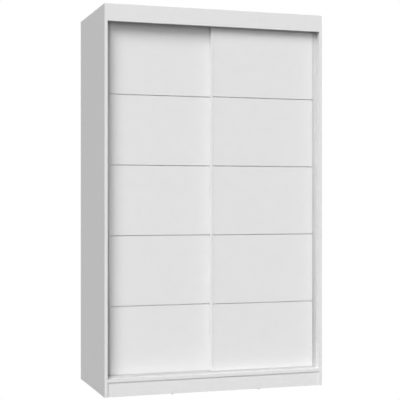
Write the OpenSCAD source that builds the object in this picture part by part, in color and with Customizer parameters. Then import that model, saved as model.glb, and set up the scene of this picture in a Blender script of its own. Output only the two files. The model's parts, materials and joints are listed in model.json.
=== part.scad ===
// Two-door sliding wardrobe, flat-pack construction.
// Units are millimetres. The origin is at floor level, under the middle of the wardrobe.
// +X is to the right and +Z is up, seen from the front; the doors face -Y.
// "d" is a distance behind the front plane of the carcass.

/* [Overall size] */
// Width over both side panels
width = 1200; // [1100:10:1300]
// Depth from the front edges to the nail heads in the back
depth = 605; // [560:5:660]
// Height from the floor to the top
height = 2000; // [1960:10:2100]

/* [Boards] */
// Thickness of the carcass and door boards
board_t = 16; // [16:1:18]
// Thickness of the fibreboard back
back_t = 3; // [2.5:0.5:4]
// Height of the plinth space under the bottom panel
plinth_h = 78; // [70:1:100]
// How far the plinth stands back from the front plane
plinth_recess = 6; // [5:1:40]
// Height of the fascia that hides the door tops
fascia_h = 87.5; // [80:0.5:100]

/* [Doors] */
// Distance from the front plane to the face of the front (right) door
front_door_d = 38.5; // [36:0.5:45]
// Distance between the two door planes
door_pitch = 24.5; // [24.5:0.5:28]
// Gap between a closed door and its side panel
side_gap = 1.5; // [1.5:0.5:3]
// How far the closed doors overlap in the middle
door_overlap = 39; // [30:1:60]
// Height of the doors' lower edge above the bottom panel
door_lift = 11; // [11:0.5:13]
// Distance from the top of the wardrobe down to the doors' upper edge
door_drop = 44; // [40:1:46]
// Height of the lowest groove above the floor
groove_z = 456; // [430:1:480]
// Distance between grooves
groove_step = 363.6; // [340:0.1:370]
// Number of grooves on each door
groove_count = 4; // [1:1:4]
// Width of a groove at the door's face
groove_w = 5; // [3:0.5:6]
// Depth of a groove
groove_deep = 7; // [1:0.5:8]
// Width of the grip profile on the outer edge
grip_w = 25; // [22:1:32]
// How far the grip's lip stands out of the door's face
grip_lip = 6; // [3:0.5:6]
// Width of the profile on the inner edge
edge_w = 11; // [8:1:16]
// How far the inner edge profile stands out of the door's face
edge_lip = 2.4; // [1.2:0.2:4]

/* [Inside] */
// Distance from the front plane to the shelves and the partition
inside_d = 100; // [90:5:140]
// Distance from the hat shelf down to the middle of the rail
rail_drop = 50; // [40:5:80]

/* [Hidden] */
SHELVES = 5;
FIXED_SHELF = 3;
$fn = 48;

white = [0.93, 0.93, 0.93];
white_metal = [0.90, 0.90, 0.91];
silver_metal = [0.70, 0.70, 0.71];
steel = [0.75, 0.76, 0.78];
zinc = [0.62, 0.63, 0.65];
grey_plastic = [0.55, 0.56, 0.58];
fibreboard = [0.90, 0.89, 0.87];
beech = [0.80, 0.66, 0.46];
eps = 0.01;     // cutters run this far past a face
play = 0.05;    // clearance of a pin or dowel in its bore

// Carcass
glide_h = 3;
nail_head_t = 1;
inner_x = width / 2 - board_t;
carcass_d = depth - back_t - nail_head_t;
floor_z = plinth_h + board_t;
ceiling_z = height - board_t;
fascia_z = height - fascia_h;
shelf_space = (ceiling_z - floor_z - SHELVES * board_t) / (SHELVES + 1);
back_inset = 2;
back_seam = 0.5;

// Doors, seen in the frame of one door: x from its outer edge inwards, y from its face backwards
door_z = floor_z + door_lift;
door_h = height - door_drop - door_z;
door_w = inner_x - side_gap + door_overlap / 2;
profile_back_t = 1.2;
profile_wall = 1.4;
grip_side_t = 2.4;
grip_web_x = 11;
board_x0 = grip_web_x + profile_wall;
board_x1 = door_w - profile_wall;
brush_w = 6;
brush_seat = 1;
brush_y = 0.2;  // the brush starts just behind the door's face
brush_proud = side_gap - 0.3;

// Running gear
track_t = 1.5;
track_x = [0.5 - inner_x, inner_x - 0.5];
channel_d = [for (i = [0, 1]) front_door_d + board_t / 2 + i * door_pitch];
bottom_track_d = [front_door_d - 10.5, channel_d[1] + 13];
bottom_track_z = floor_z + 5;
channel_w = 12;
channel_wall_z = door_z - 0.4;
rail_w = 3;
rail_top_z = bottom_track_z + 2.5;
wheel_tread_r = 11;
wheel_flange_r = 13;
wheel_w = 8;
wheel_gap = 0.2;
axle_r = 2;
axle_z = rail_top_z + wheel_tread_r + wheel_gap;
roller_x = 70;
roller_places = [roller_x, door_w - roller_x];
housing_l = 60;
housing_w = 11;
housing_wall = 1.2;
housing_top_z = axle_z + wheel_flange_r + 3;
foot_l = 90;
foot_t = 1.5;
foot_screw_x = 37;
guide_x = 60;
guide_l = 40;
guide_neck_w = 10;
guide_head_w = door_pitch - track_t - 1;
guide_tenon_z = door_z + door_h - 14;
guide_head_z = door_z + door_h + 8;
guide_top_z = ceiling_z - track_t - 6.5;
top_track_z = door_z + door_h + 6;
top_track_d = channel_d[0] - (door_pitch + track_t) / 2;
wheel_reach = sqrt(pow(wheel_flange_r, 2) - pow(axle_z - channel_wall_z, 2));
stop_x = side_gap + roller_x - wheel_reach - 1 - inner_x;
stop_l = 30;

// Rail
rail_oval_w = 15;
rail_oval_h = 30;
rail_wall = 1;
rail_d = (inside_d + carcass_d) / 2;
bracket_t = 2;
bracket_cup = 10;
bracket_h = 68;
bracket_w = 22;
bracket_screw_dz = 27;

// Cam joints: [face x, direction into the board, d, z, turn that points the cam's mouth]
cam_r = 7.5;
cam_deep = 12.5;
cam_x = 34;
bolt_r = 2.5;
bolt_deep = 11;
UP = [0, 0, 0];
DOWN = [180, 0, 0];
REAR = [-90, 0, 0];
function shelf_z(i) = floor_z + i * shelf_space + (i - 1) * board_t;
function both_ends(left_x, right_x, d, z, turn) =
    [[left_x, 1, d, z, turn], [right_x, -1, d, z, turn]];
function board_cams(left_x, right_x, front_d, z, turn) = concat(
    both_ends(left_x, right_x, front_d + 50, z, turn),
    both_ends(left_x, right_x, carcass_d - 50, z, turn)
);
top_cams = board_cams(-inner_x, inner_x, board_t, height - board_t / 2, UP);
bottom_cams = board_cams(-inner_x, inner_x, 40, plinth_h + board_t / 2, DOWN);
fixed_shelf_cams =
    board_cams(-inner_x, -board_t / 2, inside_d, shelf_z(FIXED_SHELF) + board_t / 2, DOWN);
hat_shelf_cams =
    board_cams(board_t / 2, inner_x, inside_d, shelf_z(SHELVES) + board_t / 2, DOWN);
fascia_cams = both_ends(-inner_x, inner_x, board_t / 2, height - 0.6 * fascia_h, REAR);
front_plinth_cams =
    both_ends(-inner_x, inner_x, plinth_recess + board_t / 2, plinth_h / 2, REAR);
rear_plinth_cams =
    both_ends(-inner_x, inner_x, carcass_d - board_t / 2, plinth_h / 2, REAR);
CAMS = concat(top_cams, bottom_cams, fixed_shelf_cams, hat_shelf_cams, fascia_cams,
    front_plinth_cams, rear_plinth_cams);

// Dowels, in the same form, one beside each cam
dowel_r = 4;
dowel_l = 30;
dowel_deep = 11;
function is_upright(joint) = joint[4] == REAR;
function dowel_of(joint) = is_upright(joint)
    ? [joint[0], joint[1], joint[2], joint[3] + 24]
    : [joint[0], joint[1], joint[2] + (joint[2] < carcass_d / 2 ? 45 : -45), joint[3]];
DOWELS = [for (joint = CAMS) dowel_of(joint)];

// Housing screws through the top and bottom panels into the partition: [d, z, direction]
screw_d = [inside_d + 60, carcass_d - 60];
HOUSING_SCREWS = concat(
    [for (d = screw_d) [d, height, -1]],
    [for (d = screw_d) [d, plinth_h, 1]]
);

// Shelf pins: [face x, direction out of the panel, d, z]
pin_r = 2.5;
pin_l = 8;
PINS = [
    for (i = [1:SHELVES], d = [inside_d + 37, carcass_d - 37])
        if (i != FIXED_SHELF)
            for (end = [[-inner_x, 1], [-board_t / 2, -1]])
                [end[0], end[1], d, shelf_z(i) - pin_r]
];

// Nails in the back: [x, z]
nail_x = [-width / 2 + board_t / 2, -board_t / 4, board_t / 4, width / 2 - board_t / 2];
nail_rows = 13;
nail_columns = 4;
NAILS = concat(
    [for (x = nail_x, i = [0:nail_rows - 1])
        [x, 110 + i * (height - 140) / (nail_rows - 1)]],
    [for (side = [-1, 1], i = [1:nail_columns],
        z = [plinth_h / 2, plinth_h + board_t / 2, height - board_t / 2])
        [side * i * inner_x / (nail_columns + 1), z]],
    [for (i = [1:nail_columns])
        [-i * inner_x / (nail_columns + 1), shelf_z(FIXED_SHELF) + board_t / 2]],
    [for (i = [1:nail_columns])
        [i * inner_x / (nail_columns + 1), shelf_z(SHELVES) + board_t / 2]]
);

// Glides: [x, d]
glide_r = 7;
GLIDES = concat(
    [for (side = [-1, 1], d = [30, depth / 2, carcass_d - 30])
        [side * (width - board_t) / 2, d]],
    [for (side = [-1, 1]) [side * width / 5, plinth_recess + board_t / 2]],
    [for (side = [-1, 1]) [side * width / 5, carcass_d - board_t / 2]]
);

// Wall brackets
wall_bracket_x = 500;
wall_bracket_t = 2;
wall_bracket_w = 30;
wall_bracket_leg = 40;
wall_hole_r = 3;
wall_hole_z = ceiling_z - 25;

TRACK_SCREW_X = [for (i = [-2:2]) i * 250];

function y_at(d) = d - depth / 2;

// A box from its limits in x, d and z
module block(x, d, z) {
    translate([x[0], y_at(d[0]), z[0]])
        cube([x[1] - x[0], d[1] - d[0], z[1] - z[0]]);
}

// Places children at a joint, with +Z pointing into the board
module into_board(joints) {
    for (joint = joints)
        translate([joint[0], y_at(joint[2]), joint[3]])
            rotate([0, 90 * joint[1], 0])
                children();
}

// Places children at the cam of each joint, with +Z pointing out of the cam's mouth
module at_cam(joints) {
    for (joint = joints)
        translate([joint[0] + joint[1] * cam_x, y_at(joint[2]), joint[3]])
            rotate(joint[4])
                children();
}

// Everything that is drilled for knock-down fittings in the boards near x
module fitting_bores(x) {
    here = [for (joint = CAMS) if (abs(joint[0] - x) < eps) joint];
    beside = [for (joint = DOWELS) if (abs(joint[0] - x) < eps) joint];
    into_board(here) {
        translate([0, 0, -bolt_deep - 0.5]) cylinder(r = bolt_r + play, h = bolt_deep + 1);
        cylinder(r = 4, h = cam_x);
    }
    at_cam(here) translate([0, 0, board_t / 2 - cam_deep]) cylinder(r = cam_r, h = cam_deep + eps);
    into_board(beside) translate([0, 0, -dowel_deep - 0.5]) cylinder(r = dowel_r + play, h = dowel_l + 1);
    for (pin = PINS) if (abs(pin[0] - x) < eps)
        translate([pin[0], y_at(pin[2]), pin[3]]) rotate([0, 90 * pin[1], 0])
            translate([0, 0, -pin_l - 0.5]) cylinder(r = pin_r + play, h = pin_l + 1);
}

// Clearance through the top and bottom panels for the housing screws
module housing_screw_bores() {
    for (screw = HOUSING_SCREWS)
        translate([0, y_at(screw[0]), screw[1]]) rotate([screw[2] > 0 ? 0 : 180, 0, 0]) {
            translate([0, 0, -eps]) cylinder(r = 3.5 + play, h = board_t + 2 * eps);
            translate([0, 0, -eps]) cylinder(r = 5 + play, h = 4 + eps);
        }
}

// Carcass boards
module left_side_panel() {
    color(white) difference() {
        block([-width / 2, -inner_x], [0, carcass_d], [glide_h, height]);
        fitting_bores(-inner_x);
    }
}

module right_side_panel() {
    color(white) difference() {
        block([inner_x, width / 2], [0, carcass_d], [glide_h, height]);
        fitting_bores(inner_x);
    }
}

module top_panel() {
    color(white) difference() {
        block([-inner_x, inner_x], [board_t, carcass_d], [ceiling_z, height]);
        fitting_bores(-inner_x);
        fitting_bores(inner_x);
        housing_screw_bores();
    }
}

module bottom_panel() {
    color(white) difference() {
        block([-inner_x, inner_x], [0, carcass_d], [plinth_h, floor_z]);
        fitting_bores(-inner_x);
        fitting_bores(inner_x);
        housing_screw_bores();
    }
}

module front_fascia() {
    color(white) difference() {
        block([-inner_x, inner_x], [0, board_t], [fascia_z, height]);
        fitting_bores(-inner_x);
        fitting_bores(inner_x);
    }
}

module plinth(d) {
    color(white) difference() {
        block([-inner_x, inner_x], [d, d + board_t], [glide_h, plinth_h]);
        fitting_bores(-inner_x);
        fitting_bores(inner_x);
    }
}

module plinth_brace() {
    color(white)
        block([-board_t / 2, board_t / 2],
            [plinth_recess + board_t, carcass_d - board_t], [glide_h, plinth_h]);
}

module centre_partition() {
    color(white) difference() {
        block([-board_t / 2, board_t / 2], [inside_d, carcass_d], [floor_z, ceiling_z]);
        fitting_bores(-board_t / 2);
        fitting_bores(board_t / 2);
    }
}

module wall_fixing_bores() {
    for (side = [-1, 1])
        translate([side * wall_bracket_x, y_at(carcass_d - 10), wall_hole_z])
            rotate([-90, 0, 0])
                cylinder(r = wall_hole_r, h = 20);
}

module back_panel(x) {
    color(fibreboard) difference() {
        block(x, [carcass_d, carcass_d + back_t], [glide_h + back_inset, height - back_inset]);
        wall_fixing_bores();
    }
}

module left_shelf(i) {
    clear = i == FIXED_SHELF ? 0 : 1.5;
    color(white) difference() {
        block([-inner_x + clear, -board_t / 2 - clear], [inside_d, carcass_d - clear],
            [shelf_z(i), shelf_z(i) + board_t]);
        if (i == FIXED_SHELF) {
            fitting_bores(-inner_x);
            fitting_bores(-board_t / 2);
        }
    }
}

module hat_shelf() {
    color(white) difference() {
        block([board_t / 2, inner_x], [inside_d, carcass_d],
            [shelf_z(SHELVES), shelf_z(SHELVES) + board_t]);
        fitting_bores(board_t / 2);
        fitting_bores(inner_x);
    }
}

// An oval outline, upright, of the given width and height
module oval(w, h) {
    square([w, h - w], center = true);
    for (side = [-1, 1]) translate([0, side * (h - w) / 2]) circle(d = w);
}

// Places children at the rail's axis, with +Z pointing along +X and +Y pointing up
module on_rail_axis(x) {
    translate([x, y_at(rail_d), shelf_z(SHELVES) - rail_drop])
        rotate([90, 0, 90])
            children();
}

module hanging_rail() {
    x0 = board_t / 2 + bracket_t + 0.5;
    x1 = inner_x - bracket_t - 0.5;
    color(steel) on_rail_axis(x0) linear_extrude(x1 - x0) difference() {
        oval(rail_oval_w, rail_oval_h);
        oval(rail_oval_w - 2 * rail_wall, rail_oval_h - 2 * rail_wall);
    }
}

// Cup that holds one end of the rail, standing on a plate in the plane z = 0
module rail_bracket() {
    color(steel) difference() {
        union() {
            linear_extrude(bracket_t) oval(bracket_w, bracket_h);
            linear_extrude(bracket_t + bracket_cup) oval(rail_oval_w + 4, rail_oval_h + 4);
        }
        translate([0, 0, bracket_t]) linear_extrude(bracket_cup + eps)
            oval(rail_oval_w + 0.4, rail_oval_h + 0.4);
        for (side = [-1, 1]) translate([0, side * bracket_screw_dz, bracket_t])
            mirror([0, 0, 1]) screw_seat(bracket_t);
    }
}

module rail_bracket_left() {
    on_rail_axis(board_t / 2) rail_bracket();
}

module rail_bracket_right() {
    on_rail_axis(inner_x) mirror([0, 0, 1]) rail_bracket();
}

// Countersunk wood screw with its head's face in the plane z = 0, pointing along +Z
module wood_screw(length, shank_r = 1.6, head_r = 3.2) {
    head_h = head_r - shank_r;
    difference() {
        union() {
            cylinder(r1 = head_r, r2 = shank_r, h = head_h);
            cylinder(r = shank_r, h = length - 3);
            translate([0, 0, length - 3]) cylinder(r1 = shank_r, r2 = 0.3, h = 3);
        }
        for (turn = [0, 90]) rotate([0, 0, turn])
            translate([-head_r * 0.55, -0.35, -eps]) cube([head_r * 1.1, 0.7, 0.8]);
    }
}

// Countersunk hole for such a screw in a plate, from its face at z = 0 along +Z
module screw_seat(plate_t, shank_r = 1.6, head_r = 3.2) {
    translate([0, 0, -eps])
        cylinder(r1 = head_r + play, r2 = shank_r + play, h = head_r - shank_r + eps);
    translate([0, 0, -eps]) cylinder(r = shank_r + play, h = plate_t + 2 * eps);
}

module rail_screws() {
    color(zinc) for (end = [[board_t / 2 + bracket_t, 1], [inner_x - bracket_t, 0]], side = [-1, 1])
        on_rail_axis(end[0]) translate([0, side * bracket_screw_dz, 0])
            mirror([0, 0, end[1]]) wood_screw(14);
}

module top_track() {
    color(silver_metal) difference() {
        union() {
            block(track_x, [top_track_d, top_track_d + 2 * door_pitch + track_t],
                [ceiling_z - track_t, ceiling_z]);
            for (i = [0:2])
                block(track_x,
                    [top_track_d + i * door_pitch, top_track_d + i * door_pitch + track_t],
                    [top_track_z, ceiling_z]);
        }
        at_top_track_screws() screw_seat(track_t);
    }
}

// Places children on the underside of the top track's plate, pointing up
module at_top_track_screws() {
    for (x = TRACK_SCREW_X, d = channel_d)
        translate([x, y_at(d), ceiling_z - track_t]) children();
}

module top_track_screws() {
    color(zinc) at_top_track_screws() wood_screw(14);
}

// A walled channel with a round-topped rail along its middle, where a door's wheels run
module track_channel(d) {
    for (side = [-1, 1]) {
        wall_d = d + side * (channel_w + track_t) / 2;
        block(track_x, [wall_d - track_t / 2, wall_d + track_t / 2],
            [bottom_track_z - track_t, channel_wall_z]);
    }
    block(track_x, [d - rail_w / 2, d + rail_w / 2], [floor_z, rail_top_z - rail_w / 2]);
    translate([track_x[0], y_at(d), rail_top_z - rail_w / 2]) rotate([0, 90, 0])
        cylinder(d = rail_w, h = track_x[1] - track_x[0]);
}

module bottom_track() {
    legs_d = [bottom_track_d[0], bottom_track_d[1] - track_t];
    color(silver_metal) difference() {
        union() {
            block(track_x, bottom_track_d, [bottom_track_z - track_t, bottom_track_z]);
            for (d = legs_d) block(track_x, [d, d + track_t], [floor_z, bottom_track_z]);
            for (d = channel_d) track_channel(d);
        }
        at_bottom_track_screws() screw_seat(track_t);
    }
}

// Places children on the bottom track, between its channels, pointing down
module at_bottom_track_screws() {
    for (x = TRACK_SCREW_X)
        translate([x, y_at((channel_d[0] + channel_d[1]) / 2), bottom_track_z])
            mirror([0, 0, 1]) children();
}

module bottom_track_screws() {
    color(zinc) at_bottom_track_screws() wood_screw(18);
}

// Blocks that straddle each rail near its ends and stop the outermost wheels
module track_stops() {
    stop_w = channel_w - 2;
    color(grey_plastic) for (d = channel_d, side = [0, 1]) mirror([side, 0, 0]) difference() {
        block([stop_x - stop_l, stop_x], [d - stop_w / 2, d + stop_w / 2],
            [bottom_track_z, channel_wall_z]);
        block([stop_x - stop_l - 1, stop_x + 1], [d - rail_w / 2 - play, d + rail_w / 2 + play],
            [floor_z, rail_top_z + play]);
    }
}

// Knock-down fittings
module cam_locks() {
    color(zinc) at_cam(CAMS) translate([0, 0, board_t / 2 - cam_deep]) cam();
}

module cam() {
    difference() {
        cylinder(r = cam_r - 0.1, h = cam_deep - 0.2);
        translate([0, 0, cam_deep - board_t / 2]) rotate([0, 90, 0])
            translate([0, 0, -cam_r - 1]) cylinder(r = 3.6, h = 2 * cam_r + 2);
        for (turn = [0, 90]) rotate([0, 0, turn])
            translate([-5, -0.75, cam_deep - 1.7]) cube([10, 1.5, 2]);
    }
}

module cam_bolts() {
    color(zinc) into_board(CAMS) {
        translate([0, 0, -bolt_deep]) cylinder(r = bolt_r, h = bolt_deep + 1);
        cylinder(r = 3.9, h = 1.5);
        cylinder(r = 3.4, h = cam_x - 9);
        cylinder(r = 1.8, h = cam_x - 2);
        translate([0, 0, cam_x - 3]) cylinder(r = 3.3, h = 3.5);
    }
}

module dowels() {
    color(beech) into_board(DOWELS) translate([0, 0, -dowel_deep]) {
        cylinder(r1 = dowel_r - 1, r2 = dowel_r, h = 1);
        translate([0, 0, 1]) cylinder(r = dowel_r, h = dowel_l - 2);
        translate([0, 0, dowel_l - 1]) cylinder(r1 = dowel_r, r2 = dowel_r - 1, h = 1);
    }
}

module housing_screws() {
    color(zinc) for (screw = HOUSING_SCREWS)
        translate([0, y_at(screw[0]), screw[1]]) rotate([screw[2] > 0 ? 0 : 180, 0, 0])
            difference() {
                union() {
                    cylinder(r = 5, h = 4);
                    cylinder(r = 3.5, h = board_t + 4);
                    cylinder(r = 2.4, h = 46);
                    translate([0, 0, 46]) cylinder(r1 = 2.4, r2 = 0.5, h = 4);
                }
                translate([0, 0, -eps]) cylinder(d = 4.6, h = 3, $fn = 6);
            }
}

module shelf_pins() {
    color(steel) for (pin = PINS)
        translate([pin[0], y_at(pin[2]), pin[3]]) rotate([0, 90 * pin[1], 0]) {
            translate([0, 0, -pin_l]) cylinder(r = pin_r, h = 2 * pin_l);
            cylinder(r = pin_r + 1, h = 1);
        }
}

module back_nails() {
    color(steel) for (nail = NAILS)
        translate([nail[0], y_at(depth), nail[1]]) rotate([90, 0, 0]) {
            cylinder(r = 2.5, h = nail_head_t);
            cylinder(r = 0.7, h = 20);
        }
}

module floor_glides() {
    color(grey_plastic) for (glide = GLIDES) translate([glide[0], y_at(glide[1]), 0]) {
        cylinder(r1 = glide_r - 1, r2 = glide_r, h = 1);
        translate([0, 0, 1]) cylinder(r = glide_r, h = glide_h - 1);
        cylinder(r = 1, h = glide_h + 12);
    }
}

// Angle brackets under the top panel, holed for a screw into the wall
module wall_brackets() {
    half = wall_bracket_w / 2;
    color(zinc) for (side = [-1, 1]) difference() {
        union() {
            block([side * wall_bracket_x - half, side * wall_bracket_x + half],
                [carcass_d - wall_bracket_t, carcass_d],
                [ceiling_z - wall_bracket_leg, ceiling_z]);
            block([side * wall_bracket_x - half, side * wall_bracket_x + half],
                [carcass_d - wall_bracket_leg, carcass_d],
                [ceiling_z - wall_bracket_t, ceiling_z]);
        }
        wall_fixing_bores();
        at_wall_bracket_screws(side) screw_seat(wall_bracket_t);
    }
}

// Places children on the underside of one bracket, pointing up
module at_wall_bracket_screws(side) {
    for (dx = [-8, 8])
        translate([side * wall_bracket_x + dx, y_at(carcass_d - 27), ceiling_z - wall_bracket_t])
            children();
}

module wall_bracket_screws() {
    color(zinc) for (side = [-1, 1]) at_wall_bracket_screws(side) wood_screw(14);
}

// Doors, each drawn in its own frame and placed by in_door
module in_door(side) {
    d = side == "left" ? front_door_d + door_pitch : front_door_d;
    translate([0, y_at(d), 0]) mirror([side == "left" ? 0 : 1, 0, 0])
        translate([-inner_x + side_gap, 0, 0])
            children();
}

// Slots for the top guides and roller housings
module door_pockets() {
    for (x = [guide_x, door_w - guide_x])
        translate([x - guide_l / 2 - play, board_t / 2 - guide_neck_w / 2 - play, guide_tenon_z - play])
            cube([guide_l + 2 * play, guide_neck_w + 2 * play, door_h]);
    for (x = roller_places, step = [[housing_l, housing_top_z], [foot_l, door_z + foot_t]])
        translate([x - step[0] / 2 - play, board_t / 2 - housing_w / 2 - play, 0])
            cube([step[0] + 2 * play, housing_w + 2 * play, step[1] + play]);
}

// A groove across the door, a little narrower at its floor than at the face
module groove_cutter() {
    floor_w = groove_w - 1;
    rotate([90, 0, 90]) linear_extrude(door_w)
        polygon([[-eps, -groove_w / 2], [-eps, groove_w / 2],
            [groove_deep, floor_w / 2], [groove_deep, -floor_w / 2]]);
}

module door_board() {
    color(white) difference() {
        translate([board_x0, 0, door_z]) cube([board_x1 - board_x0, board_t, door_h]);
        for (i = [0:groove_count - 1]) translate([0, 0, groove_z + i * groove_step]) groove_cutter();
        door_pockets();
    }
}

// Section of the grip: a hollow curve rises from the outer edge to a lip over the board
module grip_section() {
    outer_lip = 0.8;
    rise = grip_lip - outer_lip;
    chord = sqrt(grip_w * grip_w + rise * rise);
    sag = 2;
    arc_r = (chord * chord / 4 + sag * sag) / (2 * sag);
    normal = [-rise, -grip_w] / chord;
    centre = [grip_w / 2, -outer_lip - rise / 2] + normal * (arc_r - sag);
    difference() {
        translate([0, -grip_lip]) square([grip_w, grip_lip + board_t + profile_back_t]);
        translate(centre) circle(r = arc_r, $fn = 96);
        translate([grip_web_x + profile_wall, 0]) square([grip_w, board_t]);
        translate([grip_side_t, 3]) square([grip_web_x - grip_side_t, board_t - 4]);
        translate([-eps, brush_y]) square([brush_seat + eps, brush_w]);
    }
}

module grip_profile() {
    color(silver_metal) translate([0, 0, door_z]) linear_extrude(door_h) grip_section();
}

// Section of the inner edge profile: a channel round the board's edge, with a thicker front
module edge_section() {
    difference() {
        translate([door_w - edge_w, -edge_lip]) square([edge_w, edge_lip + board_t + profile_back_t]);
        translate([door_w - edge_w - eps, 0]) square([edge_w + eps - profile_wall, board_t]);
    }
}

module edge_profile() {
    color(white_metal) translate([0, 0, door_z]) linear_extrude(door_h) edge_section();
}

module dust_brush() {
    color(grey_plastic)
        translate([-brush_proud, brush_y + play, door_z + 5])
            cube([brush_proud + brush_seat, brush_w - 2 * play, door_h - 10]);
}

module top_guides() {
    color(grey_plastic) for (x = [guide_x, door_w - guide_x]) translate([x - guide_l / 2, board_t / 2, 0]) {
        translate([0, -guide_neck_w / 2, guide_tenon_z])
            cube([guide_l, guide_neck_w, guide_top_z - guide_tenon_z]);
        translate([0, -guide_head_w / 2, guide_head_z])
            cube([guide_l, guide_head_w, guide_top_z - guide_head_z]);
    }
}

// Places children at each roller, on the wheel's axis, with +Z pointing to the back
module at_rollers(places) {
    for (x = places) translate([x, board_t / 2, axle_z]) rotate([-90, 0, 0]) children();
}

module roller_housings() {
    color(grey_plastic) for (x = roller_places) translate([x, board_t / 2, 0]) difference() {
        union() {
            translate([-housing_l / 2, -housing_w / 2, door_z])
                cube([housing_l, housing_w, housing_top_z - door_z]);
            translate([-foot_l / 2, -housing_w / 2, door_z]) cube([foot_l, housing_w, foot_t]);
        }
        translate([-wheel_flange_r - 1.5, housing_wall - housing_w / 2, door_z - eps])
            cube([2 * wheel_flange_r + 3, housing_w - 2 * housing_wall,
                housing_top_z - door_z - housing_wall + eps]);
        translate([0, 0, axle_z]) rotate([90, 0, 0])
            cylinder(r = axle_r + 0.01, h = housing_w + 2, center = true);
        for (side = [-1, 1]) translate([side * foot_screw_x, 0, door_z]) screw_seat(foot_t);
    }
}

module roller_axles() {
    color(steel) at_rollers(roller_places) cylinder(r = axle_r, h = housing_w - 0.2, center = true);
}

module roller_screws() {
    color(zinc) for (x = roller_places, side = [-1, 1])
        translate([x + side * foot_screw_x, board_t / 2, door_z]) wood_screw(18);
}

// Wheel with a round groove that runs on the rail
module wheel() {
    groove_r = rail_w / 2 + 0.5;
    color(grey_plastic) rotate_extrude() difference() {
        translate([axle_r + play, -wheel_w / 2]) square([wheel_flange_r - axle_r - play, wheel_w]);
        translate([wheel_tread_r + groove_r, 0]) circle(r = groove_r);
        for (side = [-1, 1]) translate([5, side * wheel_w / 2 - 0.8]) square([4, 1.6]);
    }
}

left_side_panel();
right_side_panel();
top_panel();
bottom_panel();
front_fascia();
plinth(plinth_recess);  // front_plinth
plinth(carcass_d - board_t);  // rear_plinth
plinth_brace();
centre_partition();
back_panel([back_inset - width / 2, -back_seam]);  // back_panel_left
back_panel([back_seam, width / 2 - back_inset]);  // back_panel_right
for (i = [1:SHELVES]) left_shelf(i);
hat_shelf();
hanging_rail();
rail_bracket_left();
rail_bracket_right();
rail_screws();
top_track();
bottom_track();
top_track_screws();
bottom_track_screws();
track_stops();
cam_locks();
cam_bolts();
dowels();
housing_screws();
shelf_pins();
back_nails();
floor_glides();
wall_brackets();
wall_bracket_screws();
for (side = ["left", "right"]) {
    in_door(side) door_board();
    in_door(side) grip_profile();
    in_door(side) edge_profile();
    in_door(side) dust_brush();
    in_door(side) top_guides();
    in_door(side) roller_housings();
    in_door(side) roller_axles();
    in_door(side) roller_screws();
    in_door(side) at_rollers([roller_x]) wheel();
    in_door(side) at_rollers([door_w - roller_x]) wheel();
}
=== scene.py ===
"""White sliding door wardrobe: surfaces, brush pile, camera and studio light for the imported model."""

import json
import math
import random

import bmesh
import bpy
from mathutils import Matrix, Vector

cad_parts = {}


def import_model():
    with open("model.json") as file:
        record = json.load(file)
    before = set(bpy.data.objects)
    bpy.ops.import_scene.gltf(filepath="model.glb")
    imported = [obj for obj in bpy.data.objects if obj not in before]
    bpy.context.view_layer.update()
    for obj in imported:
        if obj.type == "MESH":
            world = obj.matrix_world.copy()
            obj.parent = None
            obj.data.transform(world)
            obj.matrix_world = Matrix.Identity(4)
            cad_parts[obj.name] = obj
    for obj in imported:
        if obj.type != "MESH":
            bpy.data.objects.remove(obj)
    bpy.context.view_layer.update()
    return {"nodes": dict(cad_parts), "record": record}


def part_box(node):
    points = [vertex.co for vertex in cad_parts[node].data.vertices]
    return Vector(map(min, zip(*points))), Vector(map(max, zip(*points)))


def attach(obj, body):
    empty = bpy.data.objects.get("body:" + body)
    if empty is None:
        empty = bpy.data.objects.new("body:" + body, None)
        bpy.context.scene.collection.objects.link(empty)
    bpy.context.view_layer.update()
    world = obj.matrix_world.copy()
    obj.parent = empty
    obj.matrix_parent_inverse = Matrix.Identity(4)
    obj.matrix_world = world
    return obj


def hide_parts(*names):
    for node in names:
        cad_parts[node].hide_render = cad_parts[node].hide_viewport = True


MM = 0.001

# The camera, in metres and degrees: level, at half the wardrobe's height and to the left of its front,
# with a long lens in millimetres.
CAMERA_PLACE = (-1.7849, -5.5326, 1.0037)
CAMERA_TILT = 90.0
CAMERA_TURN = -17.928
CAMERA_LENS = 95.06
CAMERA_SENSOR = 36.0

# Soft studio lamps: name, degrees to the left of the front, height in degrees, strength, softness.
LAMPS = (
    ("key_lamp", 40.0, 36.0, 2.65, 36.0),
    ("low_front_lamp", 15.0, 8.0, 0.46, 20.0),
    ("right_lamp", -40.0, 20.0, 0.26, 30.0),
    ("far_side_lamp", -102.0, 20.0, 0.70, 20.0),
    ("back_lamp", -160.0, 30.0, 1.30, 20.0),
)

# The light that the backdrop gives, and how pale the floor is. The camera sees both as plain white.
ROOM_LIGHT = 0.17
FLOOR_TONE = 0.16

# How far the edges of each kind of part are eased, in millimetres.
EASED = {
    "carcass_board": 0.5,
    "door_board": 0.3,
    "white_aluminium": 0.3,
    "silver_aluminium": 0.25,
    "grey_plastic": 0.3,
    "wheel_plastic": 0.2,
}

# How the edges are eased: nearly flat faces are merged first, and then sharp edges are rounded.
WELD_REACH = 0.001 * MM
FLAT_ANGLE = math.radians(0.5)
SHARP_ANGLE = math.radians(40.0)
BEVEL_STEPS = 2

# A face this close to a side of its node's box counts as lying on it.
BOX_TOLERANCE = 0.01 * MM

# A face counts as turned along an axis when its normal reaches at least this far along it.
TURNED = 0.5

# A door's grooves lie at least this far in front of the middle of its board; their faces get the foil with
# painted shade. Deeper cuts are bare.
GROOVE_MARGIN = 0.5 * MM

# The brushes: the backing's depth from its seat, then the tufts' size, spacing and rows.
BACKING = 1.5 * MM
TUFT_WIDTH = 1.2 * MM
TUFT_PITCH = 1.4 * MM
TUFT_ROWS = 5

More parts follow.
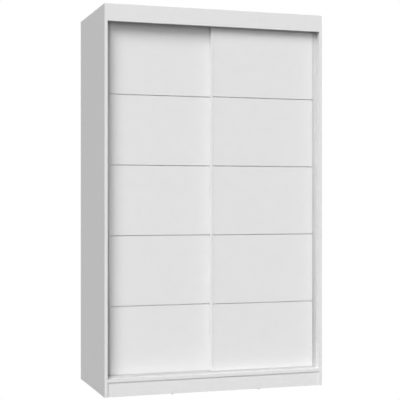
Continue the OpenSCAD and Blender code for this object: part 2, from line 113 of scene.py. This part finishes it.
# How unevenly the tufts are cut and combed: the shortest tuft as a share of the longest, and how far
# the tips lean across and along the brush.
TUFT_SHORTEST = 0.86
TUFT_LEAN_ACROSS = 0.2 * MM
TUFT_LEAN_ALONG = 0.3 * MM
TUFT_SEED = 5

# How far the lamps stand from the wardrobe, and the width of the floor, in metres.
LAMP_DISTANCE = 4.0
FLOOR_SIZE = 40.0


# ---------------------------------------------------------------- node helpers


class Surface:
    """A node material under construction, with short calls for the few node types that are used."""

    def __init__(self, name, roughness, metallic=0.0, specular=0.5):
        self.material = bpy.data.materials.new(name)
        self.material.use_nodes = True
        self.nodes = self.material.node_tree.nodes
        self.links = self.material.node_tree.links
        self.shader = self.nodes["Principled BSDF"]
        self.shader.inputs["Roughness"].default_value = roughness
        self.shader.inputs["Metallic"].default_value = metallic
        self.shader.inputs["Specular IOR Level"].default_value = specular

    def place(self, stretch=(1.0, 1.0, 1.0)):
        """Coordinates in metres that stay with the part; a small factor draws the pattern out that way."""
        coordinates = self.nodes.new("ShaderNodeTexCoord")
        mapping = self.nodes.new("ShaderNodeMapping")
        mapping.inputs["Scale"].default_value = stretch
        self.links.new(coordinates.outputs["Object"], mapping.inputs["Vector"])
        return mapping.outputs["Vector"]

    def noise(self, place, per_metre, detail=2.0, grit=0.5):
        """Soft random pattern, per_metre features in each metre; grit strengthens its fine detail."""
        texture = self.nodes.new("ShaderNodeTexNoise")
        texture.inputs["Scale"].default_value = per_metre
        texture.inputs["Detail"].default_value = detail
        texture.inputs["Roughness"].default_value = grit
        self.links.new(place, texture.inputs["Vector"])
        return texture.outputs["Fac"]

    def flakes(self, place, per_metre):
        """Angular cells, each with its own random colour, about per_metre in each metre."""
        texture = self.nodes.new("ShaderNodeTexVoronoi")
        texture.inputs["Scale"].default_value = per_metre
        self.links.new(place, texture.inputs["Vector"])
        return texture.outputs["Color"]

    def tint(self, pattern, dark, light, start=0.3, end=0.7):
        """Base colour that moves from dark to light with the pattern."""
        ramp = self.nodes.new("ShaderNodeValToRGB")
        ramp.color_ramp.elements[0].position = start
        ramp.color_ramp.elements[0].color = (*dark, 1.0)
        ramp.color_ramp.elements[1].position = end
        ramp.color_ramp.elements[1].color = (*light, 1.0)
        self.links.new(pattern, ramp.inputs["Fac"])
        self.links.new(ramp.outputs["Color"], self.shader.inputs["Base Color"])

    def polish(self, pattern, smooth, rough):
        """Roughness that moves from smooth to rough with the pattern."""
        spread = self.nodes.new("ShaderNodeMapRange")
        spread.inputs["From Min"].default_value = 0.3
        spread.inputs["From Max"].default_value = 0.7
        spread.inputs["To Min"].default_value = smooth
        spread.inputs["To Max"].default_value = rough
        self.links.new(pattern, spread.inputs["Value"])
        self.links.new(spread.outputs["Result"], self.shader.inputs["Roughness"])

    def relief(self, pattern, height, strength=1.0):
        """Fine relief of the given height in metres. A second call adds to the first."""
        bump = self.nodes.new("ShaderNodeBump")
        bump.inputs["Distance"].default_value = height
        bump.inputs["Strength"].default_value = strength
        self.links.new(pattern, bump.inputs["Height"])
        normal = self.shader.inputs["Normal"]
        if normal.is_linked:
            self.links.new(normal.links[0].from_socket, bump.inputs["Normal"])
        self.links.new(bump.outputs["Normal"], normal)


def grey(tone):
    """A colour without a hue, from 0 for black to 1 for white."""
    return (tone, tone, tone)


# ---------------------------------------------------------------- materials


def melamine():
    """Satin white melamine on the carcass: a pearl grain that is felt more than seen."""
    surface = Surface("white_melamine", roughness=0.5, specular=0.3)
    place = surface.place()
    surface.tint(surface.noise(place, 35.0, 4.0), grey(0.840), grey(0.860))
    surface.polish(surface.noise(place, 60.0, 3.0), 0.44, 0.56)
    surface.relief(surface.noise(place, 900.0, 2.0), 0.00003, 0.5)
    surface.relief(surface.noise(place, 6.0, 1.0), 0.0002, 0.3)
    return surface.material


def edge_band():
    """White plastic band on the boards' edges: a little glossier, with fine lines along its length."""
    surface = Surface("white_edge_band", roughness=0.38, specular=0.35)
    place = surface.place()
    surface.tint(surface.noise(place, 60.0, 4.0), grey(0.838), grey(0.858))
    surface.polish(surface.noise(place, 110.0, 3.0), 0.32, 0.44)
    surface.relief(surface.noise(place, 500.0, 2.0), 0.00002, 0.5)
    return surface.material


def door_foil():
    """White foil drawn over the milled doors: smoother than melamine, with a faint orange peel."""
    surface = Surface("white_door_foil", roughness=0.46, specular=0.3)
    place = surface.place()
    surface.tint(surface.noise(place, 20.0, 3.0), grey(0.845), grey(0.858))
    surface.polish(surface.noise(place, 45.0, 3.0), 0.42, 0.50)
    surface.relief(surface.noise(place, 300.0, 2.0), 0.00003, 0.4)
    surface.relief(surface.noise(place, 8.0, 1.0), 0.0002, 0.3)
    return surface.material


def painted_shade_groove_foil():
    """The same foil in the milled grooves, painted greyer than the door foil: painted shade that stands in
    for the shade falling in the grooves.
    """
    surface = Surface("white_foil_with_painted_groove_shade", roughness=0.55, specular=0.25)
    place = surface.place()
    # Painted shade: the tone here is darker than the door foil's 0.845 to 0.858.
    surface.tint(surface.noise(place, 90.0, 3.0), grey(0.73), grey(0.77))
    surface.polish(surface.noise(place, 120.0, 3.0), 0.50, 0.60)
    surface.relief(surface.noise(place, 600.0, 2.0), 0.00004, 0.6)
    return surface.material


def raw_chipboard():
    """Bare chips inside bores, slots and pockets."""
    surface = Surface("raw_chipboard", roughness=0.9, specular=0.2)
    place = surface.place()
    surface.tint(surface.flakes(place, 450.0), (0.30, 0.19, 0.10), (0.66, 0.50, 0.32), 0.1, 0.9)
    surface.relief(surface.noise(place, 800.0, 4.0), 0.0003, 0.8)
    return surface.material


def raw_fibreboard():
    """Even brown fibreboard inside the cuts of the doors."""
    surface = Surface("raw_fibreboard", roughness=0.9, specular=0.2)
    place = surface.place()
    surface.tint(surface.noise(place, 700.0, 5.0), (0.36, 0.23, 0.13), (0.52, 0.37, 0.23))
    surface.relief(surface.noise(place, 1500.0, 3.0), 0.0001, 0.6)
    return surface.material


def back_print():
    """White print on the inside of the back panels, with the fibres showing faintly through it."""
    surface = Surface("white_back_print", roughness=0.6, specular=0.3)
    place = surface.place()
    surface.tint(surface.noise(place, 250.0, 5.0), (0.80, 0.79, 0.77), (0.85, 0.845, 0.83))
    surface.polish(surface.noise(place, 80.0, 3.0), 0.52, 0.66)
    surface.relief(surface.noise(place, 500.0, 4.0), 0.00004, 0.6)
    return surface.material


def back_fibre():
    """Bare brown fibreboard on the back of the back panels, with darker and paler fibres."""
    surface = Surface("brown_back_fibre", roughness=0.8, specular=0.25)
    fibres = surface.place((1.0, 1.0, 0.4))
    surface.tint(surface.noise(fibres, 9.0, 9.0, 0.78), (0.33, 0.20, 0.11), (0.60, 0.43, 0.27))
    surface.polish(surface.noise(surface.place(), 12.0, 3.0), 0.70, 0.88)
    surface.relief(surface.noise(fibres, 700.0, 5.0), 0.0001, 0.7)
    return surface.material


def powder_coat():
    """White powder coat on the edge profiles."""
    surface = Surface("white_powder_coat", roughness=0.42, specular=0.4)
    place = surface.place()
    surface.tint(surface.noise(place, 50.0, 3.0), grey(0.840), grey(0.856))
    surface.polish(surface.noise(place, 90.0, 2.0), 0.36, 0.48)
    surface.relief(surface.noise(place, 1100.0, 2.0), 0.00004, 0.6)
    return surface.material


def anodised(name, drawn_out, tone):
    """Satin anodised aluminium with fine lines along the way that it was drawn."""
    surface = Surface(name, roughness=0.42, metallic=0.35, specular=0.5)
    lines = surface.place(drawn_out)
    surface.tint(surface.noise(lines, 1800.0, 4.0), grey(tone - 0.03), grey(tone + 0.03))
    surface.polish(surface.noise(lines, 900.0, 3.0), 0.36, 0.48)
    surface.relief(surface.noise(lines, 2600.0, 3.0), 0.00002, 0.6)
    return surface.material


def chrome():
    """Bright chromed tube with the faint ripple of the tube under the plating."""
    surface = Surface("chromed_tube", roughness=0.1, metallic=1.0)
    place = surface.place((0.05, 1.0, 1.0))
    surface.tint(surface.noise(place, 120.0, 2.0), (0.78, 0.78, 0.79), (0.86, 0.86, 0.87))
    surface.polish(surface.noise(surface.place(), 70.0, 4.0), 0.06, 0.16)
    surface.relief(surface.noise(place, 400.0, 2.0), 0.00001, 0.5)
    return surface.material


def zinc():
    """Zinc plate: cool, slightly mottled metal."""
    surface = Surface("zinc_plate", roughness=0.35, metallic=0.9)
    place = surface.place()
    surface.tint(surface.flakes(place, 900.0), (0.50, 0.51, 0.54), (0.70, 0.71, 0.74), 0.2, 0.8)
    surface.polish(surface.noise(place, 500.0, 4.0), 0.26, 0.46)
    surface.relief(surface.noise(place, 1500.0, 3.0), 0.00002, 0.6)
    return surface.material


def moulded(name, dark, light, roughness, specular):
    """Moulded plastic with the fine spark texture of its mould."""
    surface = Surface(name, roughness=roughness, specular=specular)
    place = surface.place()
    surface.tint(surface.noise(place, 120.0, 3.0), dark, light)
    surface.polish(surface.noise(place, 300.0, 3.0), roughness - 0.06, roughness + 0.06)
    surface.relief(surface.noise(place, 2200.0, 2.0), 0.00004, 0.7)
    return surface.material


def beech():
    """Beech dowels: pale pink-brown wood with short darker flecks along the grain."""
    surface = Surface("beech", roughness=0.6, specular=0.3)
    place = surface.place((0.35, 1.0, 0.35))
    surface.tint(surface.noise(place, 1400.0, 6.0), (0.50, 0.33, 0.19), (0.74, 0.56, 0.37))
    surface.relief(surface.noise(place, 1800.0, 4.0), 0.00005, 0.7)
    return surface.material


def pile():
    """Grey-white synthetic pile, softer at grazing angles, each tuft a little different."""
    surface = Surface("brush_pile", roughness=0.85, specular=0.2)
    surface.shader.inputs["Sheen Weight"].default_value = 0.3
    place = surface.place()
    surface.tint(surface.noise(place, 650.0, 3.0), (0.74, 0.74, 0.75), (0.86, 0.86, 0.86))
    surface.relief(surface.noise(place, 3000.0, 2.0), 0.0001, 0.6)
    return surface.material


def make_materials():
    """The finish of each slot of the record, and the finishes that show only in cuts or behind."""
    light_grey = ((0.46, 0.47, 0.48), (0.52, 0.53, 0.54))
    nylon = ((0.74, 0.74, 0.71), (0.80, 0.80, 0.77))
    return {
        "carcass_board": melamine(),
        "door_board": door_foil(),
        "back_board": back_print(),
        "white_aluminium": powder_coat(),
        "silver_aluminium": anodised("anodised_upright", (1.0, 1.0, 0.01), 0.71),
        "chromed_steel": chrome(),
        "zinc_plated_steel": zinc(),
        "grey_plastic": moulded("grey_plastic", *light_grey, 0.5, 0.4),
        "wheel_plastic": moulded("nylon", *nylon, 0.4, 0.5),
        "brush_pile": pile(),
        "beech": beech(),
        "track": anodised("anodised_lengthwise", (0.01, 1.0, 1.0), 0.73),
        "board_edge": edge_band(),
        "board_cut": raw_chipboard(),
        "door_groove_painted_shade": painted_shade_groove_foil(),
        "door_cut": raw_fibreboard(),
        "back_outside": back_fibre(),
    }


# ---------------------------------------------------------------- finishing the CAD nodes


def paint_faces(node, finish, wanted):
    """Gives the finish to the faces that wanted picks."""
    node.data.materials.append(finish)
    index = len(node.data.materials) - 1
    for face in node.data.polygons:
        if wanted(face):
            face.material_index = index


def thinnest_axis(low, high):
    """The axis through a board's thickness."""
    size = high - low
    return min(range(3), key=lambda axis: size[axis])


def on_box(node, low, high):
    """Tells whether a face lies on one of the six sides of the node's box."""
    corners = node.data.vertices

    def test(face):
        points = [corners[i].co for i in face.vertices]
        for axis in range(3):
            for side in (low[axis], high[axis]):
                if all(abs(point[axis] - side) < BOX_TOLERANCE for point in points):
                    return True
        return False

    return test


def finish_nodes(frame, materials):
    """Puts each node's finish on it, with bare board in the cuts and painted shade in the doors' grooves.
    """
    for part in frame["record"]["subparts"]:
        name, slot = part["node"], part["material_slot"]
        node = frame["nodes"][name]
        finish = materials["track" if name in ("top_track", "bottom_track") else slot]
        node.data.materials[0] = finish
        low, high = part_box(name)
        outside = on_box(node, low, high)
        if slot == "carcass_board":
            through = thinnest_axis(low, high)
            paint_faces(
                node,
                materials["board_edge"],
                lambda face: outside(face) and abs(face.normal[through]) < TURNED,
            )
            paint_faces(node, materials["board_cut"], lambda face: not outside(face))
        if slot == "door_board":
            middle = (low.y + high.y) / 2 - GROOVE_MARGIN
            # The groove faces get the greyer foil, which is painted shade for the shade in the grooves.
            paint_faces(
                node,
                materials["door_groove_painted_shade"],
                lambda face: not outside(face) and face.center.y <= middle,
            )
            paint_faces(
                node,
                materials["door_cut"],
                lambda face: not outside(face) and face.center.y > middle,
            )
        if slot == "back_board":
            paint_faces(node, materials["back_outside"], lambda face: face.normal.y > TURNED)


def ease_edges(frame):
    """Rounds the sharp edges of boards and profiles as an edge band, foil or die leaves them."""
    for part in frame["record"]["subparts"]:
        radius = EASED.get(part["material_slot"])
        if radius is None:
            continue
        node = frame["nodes"][part["node"]]
        weld = node.modifiers.new("weld", "WELD")
        weld.merge_threshold = WELD_REACH
        merge = node.modifiers.new("flat_faces", "DECIMATE")
        merge.decimate_type = "DISSOLVE"
        merge.angle_limit = FLAT_ANGLE
        merge.delimit = {"MATERIAL"}
        bevel = node.modifiers.new("eased_edges", "BEVEL")
        bevel.width = radius * MM
        bevel.segments = BEVEL_STEPS
        bevel.limit_method = "ANGLE"
        bevel.angle_limit = SHARP_ANGLE
        bevel.harden_normals = True


# ---------------------------------------------------------------- brush pile


def add_tuft(mesh, root, tip, width):
    """One tapered four-sided tuft from root to tip."""
    along = (tip - root).normalized()
    side = along.cross(Vector((0.0, 0.0, 1.0))).normalized()
    other = along.cross(side)
    corners = (side + other, side - other, -side - other, other - side)
    base = [mesh.verts.new(root + corner * width / 2) for corner in corners]
    top = [mesh.verts.new(tip + corner * width / 3) for corner in corners]
    for i in range(4):
        j = (i + 1) % 4
        mesh.faces.new((base[i], base[j], top[j], top[i]))
    mesh.faces.new(reversed(base))
    mesh.faces.new(top)


def add_strip(mesh, low, high):
    """The solid backing that holds the tufts, from its lowest to its highest corner."""
    made = bmesh.ops.create_cube(mesh, size=1.0)
    size = high - low
    centre = (low + high) / 2
    for corner in made["verts"]:
        corner.co = Vector(corner.co[i] * size[i] + centre[i] for i in range(3))


def brush(side, materials):
    """Pile that seals the gap between a door and its side panel, in place of the plain CAD strip."""
    node = side + "_dust_brush"
    low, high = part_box(node)
    outward = -1.0 if side == "left" else 1.0
    tip_x = low.x if outward < 0 else high.x
    seat_x = high.x if outward < 0 else low.x
    root_x = seat_x + outward * BACKING
    chance = random.Random(TUFT_SEED)
    mesh = bmesh.new()
    add_strip(
        mesh,
        Vector((min(seat_x, root_x), low.y, low.z)),
        Vector((max(seat_x, root_x), high.y, high.z)),
    )
    count = int((high.z - low.z - 2 * TUFT_WIDTH) / TUFT_PITCH)
    for row in range(TUFT_ROWS):
        y = low.y + (high.y - low.y) * (row + 0.5) / TUFT_ROWS
        for step in range(count):
            z = low.z + TUFT_WIDTH + TUFT_PITCH * (step + 0.5 * (row % 2))
            root = Vector((root_x, y, z))
            reach = abs(tip_x - root_x) * chance.uniform(TUFT_SHORTEST, 1.0)
            across = chance.uniform(-TUFT_LEAN_ACROSS, TUFT_LEAN_ACROSS)
            along = chance.uniform(-TUFT_LEAN_ALONG, TUFT_LEAN_ALONG)
            tip = root + Vector((outward * reach, across, along))
            add_tuft(mesh, root, tip, TUFT_WIDTH)
    data = bpy.data.meshes.new(side + "_brush_pile")
    mesh.to_mesh(data)
    mesh.free()
    data.materials.append(materials["brush_pile"])
    piece = bpy.data.objects.new(side + "_brush_pile", data)
    bpy.context.scene.collection.objects.link(piece)
    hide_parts(node)
    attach(piece, side + "_door")


# ---------------------------------------------------------------- camera, light and floor


def add_camera():
    """The camera that sees the wardrobe from the left, with its verticals upright."""
    data = bpy.data.cameras.new("camera")
    data.lens = CAMERA_LENS
    data.sensor_width = CAMERA_SENSOR
    camera = bpy.data.objects.new("camera", data)
    camera.location = CAMERA_PLACE
    camera.rotation_euler = (math.radians(CAMERA_TILT), 0.0, math.radians(CAMERA_TURN))
    bpy.context.scene.collection.objects.link(camera)
    bpy.context.scene.camera = camera


def add_lamps():
    """Distant lamps, each as wide as a softbox, seen from the wardrobe."""
    for name, left, height, strength, softness in LAMPS:
        data = bpy.data.lights.new(name, "SUN")
        data.energy = strength
        data.angle = math.radians(softness)
        turn, rise = math.radians(left), math.radians(height)
        towards = Vector(
            (-math.sin(turn) * math.cos(rise), -math.cos(turn) * math.cos(rise), math.sin(rise))
        )
        lamp = bpy.data.objects.new(name, data)
        lamp.location = towards * LAMP_DISTANCE
        lamp.rotation_mode = "QUATERNION"
        lamp.rotation_quaternion = towards.to_track_quat("Z", "Y")
        bpy.context.scene.collection.objects.link(lamp)


def split_by_ray(tree, seen, unseen, output):
    """Shows the camera one shader and lets every other ray meet the other."""
    ray = tree.nodes.new("ShaderNodeLightPath")
    mix = tree.nodes.new("ShaderNodeMixShader")
    tree.links.new(ray.outputs["Is Camera Ray"], mix.inputs["Fac"])
    tree.links.new(unseen, mix.inputs[1])
    tree.links.new(seen, mix.inputs[2])
    tree.links.new(mix.outputs["Shader"], output)


def add_room():
    """A white backdrop all round that gives only a little light of its own."""
    world = bpy.data.worlds.new("studio")
    world.use_nodes = True
    tree = world.node_tree
    tree.nodes.clear()
    shaders = []
    for strength in (1.0, ROOM_LIGHT):
        light = tree.nodes.new("ShaderNodeBackground")
        light.inputs["Color"].default_value = (1.0, 1.0, 1.0, 1.0)
        light.inputs["Strength"].default_value = strength
        shaders.append(light.outputs["Background"])
    output = tree.nodes.new("ShaderNodeOutputWorld")
    split_by_ray(tree, shaders[0], shaders[1], output.inputs["Surface"])
    bpy.context.scene.world = world


def add_floor():
    """A wide floor as white as the backdrop."""
    bpy.ops.mesh.primitive_plane_add(size=FLOOR_SIZE)
    floor = bpy.context.object
    floor.name = "floor"
    material = bpy.data.materials.new("white_floor")
    material.use_nodes = True
    tree = material.node_tree
    tree.nodes.clear()
    glow = tree.nodes.new("ShaderNodeEmission")
    glow.inputs["Color"].default_value = (1.0, 1.0, 1.0, 1.0)
    matt = tree.nodes.new("ShaderNodeBsdfDiffuse")
    matt.inputs["Color"].default_value = (*grey(FLOOR_TONE), 1.0)
    output = tree.nodes.new("ShaderNodeOutputMaterial")
    split_by_ray(tree, glow.outputs["Emission"], matt.outputs["BSDF"], output.inputs["Surface"])
    floor.data.materials.append(material)


def main():
    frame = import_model()
    add_camera()
    materials = make_materials()
    finish_nodes(frame, materials)
    ease_edges(frame)
    for side in ("left", "right"):
        brush(side, materials)
    add_lamps()
    add_room()
    add_floor()
    bpy.context.scene.view_settings.view_transform = "Standard"


main()
